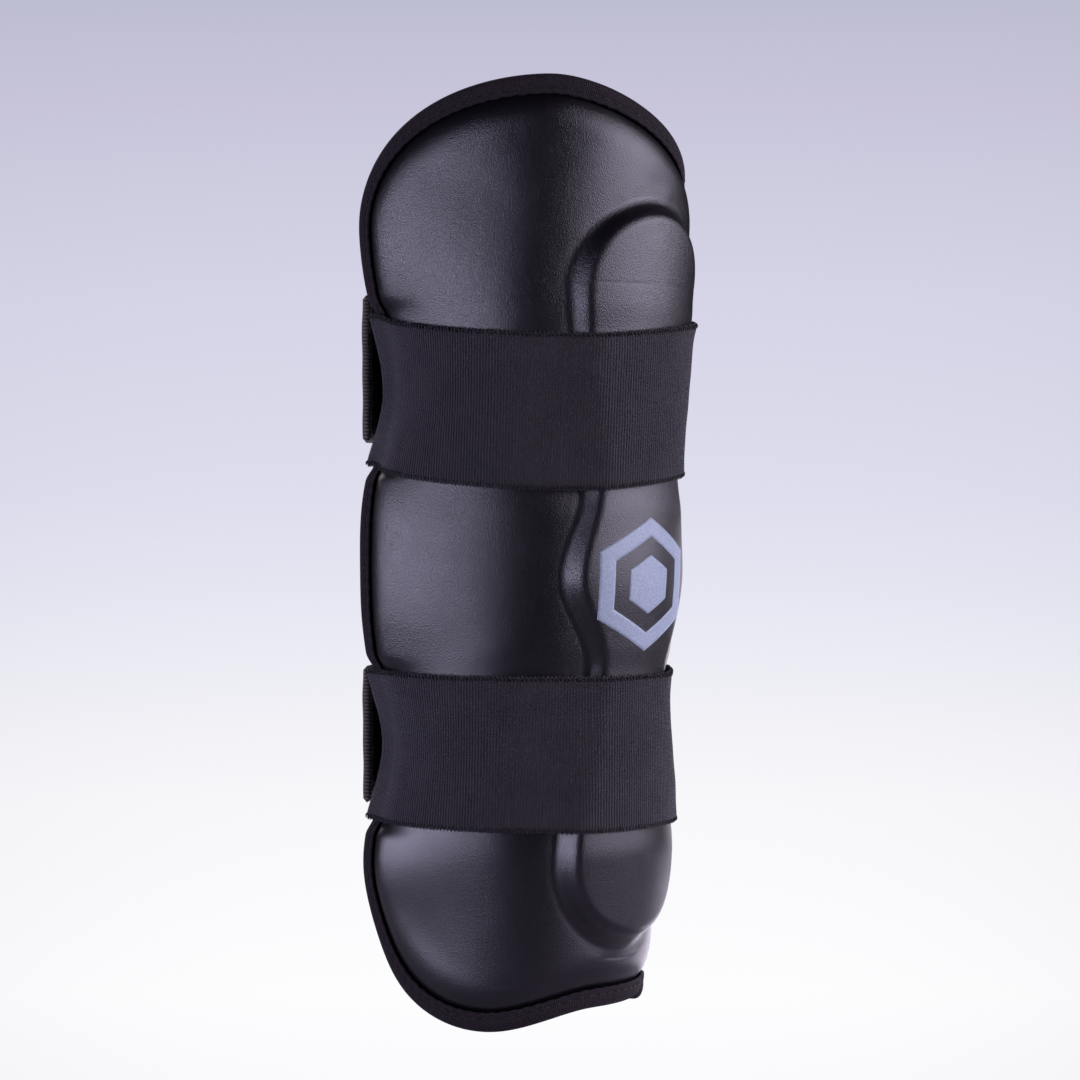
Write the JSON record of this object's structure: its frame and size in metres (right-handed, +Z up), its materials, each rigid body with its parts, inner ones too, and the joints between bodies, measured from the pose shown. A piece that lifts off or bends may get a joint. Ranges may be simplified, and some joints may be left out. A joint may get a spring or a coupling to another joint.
{
  "type": "shin guard",
  "caption": "Moulded padded shin guard with a raised shin ridge, stitched fabric binding and two wide elastic straps that wrap the leg and close with hook and loop.",
  "frame": {"origin": "on the axis of the leg, level with the lowest point of the binding", "axes": "+Z up along the shin; the front of the shin faces -Y; the calf side is +Y; the high, wide wing of the guard and the strap closures are on the -X side"},
  "size_m": [0.1245, 0.1286, 0.3565],
  "materials": {
    "cover": "satin black synthetic leather with a fine pebble grain",
    "bar_foam": "firm closed-cell foam",
    "foam": "closed-cell foam",
    "soft_foam": "soft open foam",
    "lining": "matte black woven lining",
    "binding": "matte black folded woven tape",
    "thread": "black sewing thread",
    "print": "blue-grey heat-transfer print",
    "elastic": "dark grey ribbed knitted elastic",
    "loop": "black loop tape, fuzzy",
    "hook": "black moulded hook tape",
    "tab_webbing": "brownish-black woven webbing"
  },
  "bodies": {
    "guard": {"outer_skin": "cover", "tibia_bar_insert": "bar_foam", "main_foam": "foam", "comfort_foam": "soft_foam", "lining": "lining", "edge_binding": "binding", "binding_stitches": "thread", "emblem_print": "print", "upper_strap_front": "elastic", "upper_loop_tape": "loop", "upper_anchor_stitches": "thread", "lower_strap_front": "elastic", "lower_loop_tape": "loop", "lower_anchor_stitches": "thread"},
    "upper_strap": {"upper_strap_back": "elastic"},
    "upper_tab": {"upper_strap_tab": "tab_webbing", "upper_hook_tape": "hook", "upper_tab_stitches": "thread"},
    "lower_strap": {"lower_strap_back": "elastic"},
    "lower_tab": {"lower_strap_tab": "tab_webbing", "lower_hook_tape": "hook", "lower_tab_stitches": "thread"}
  },
  "joints": [
    {"name": "upper_strap_swing", "type": "hinge", "parent": "guard", "child": "upper_strap", "pos_m": [0.05763, 0.02489, 0.25], "axis": [0, 0, -1], "range_deg": [0, 110]},
    {"name": "upper_tab_peel", "type": "hinge", "parent": "upper_strap", "child": "upper_tab", "pos_m": [0.00849, 0.06163, 0.25], "axis": [0, 0, -1], "range_deg": [0, 110]},
    {"name": "lower_strap_swing", "type": "hinge", "parent": "guard", "child": "lower_strap", "pos_m": [0.05402, 0.02779, 0.1105], "axis": [0, 0, -1], "range_deg": [0, 110]},
    {"name": "lower_tab_peel", "type": "hinge", "parent": "lower_strap", "child": "lower_tab", "pos_m": [0.01027, 0.06194, 0.1105], "axis": [0, 0, -1], "range_deg": [0, 110]}
  ]
}
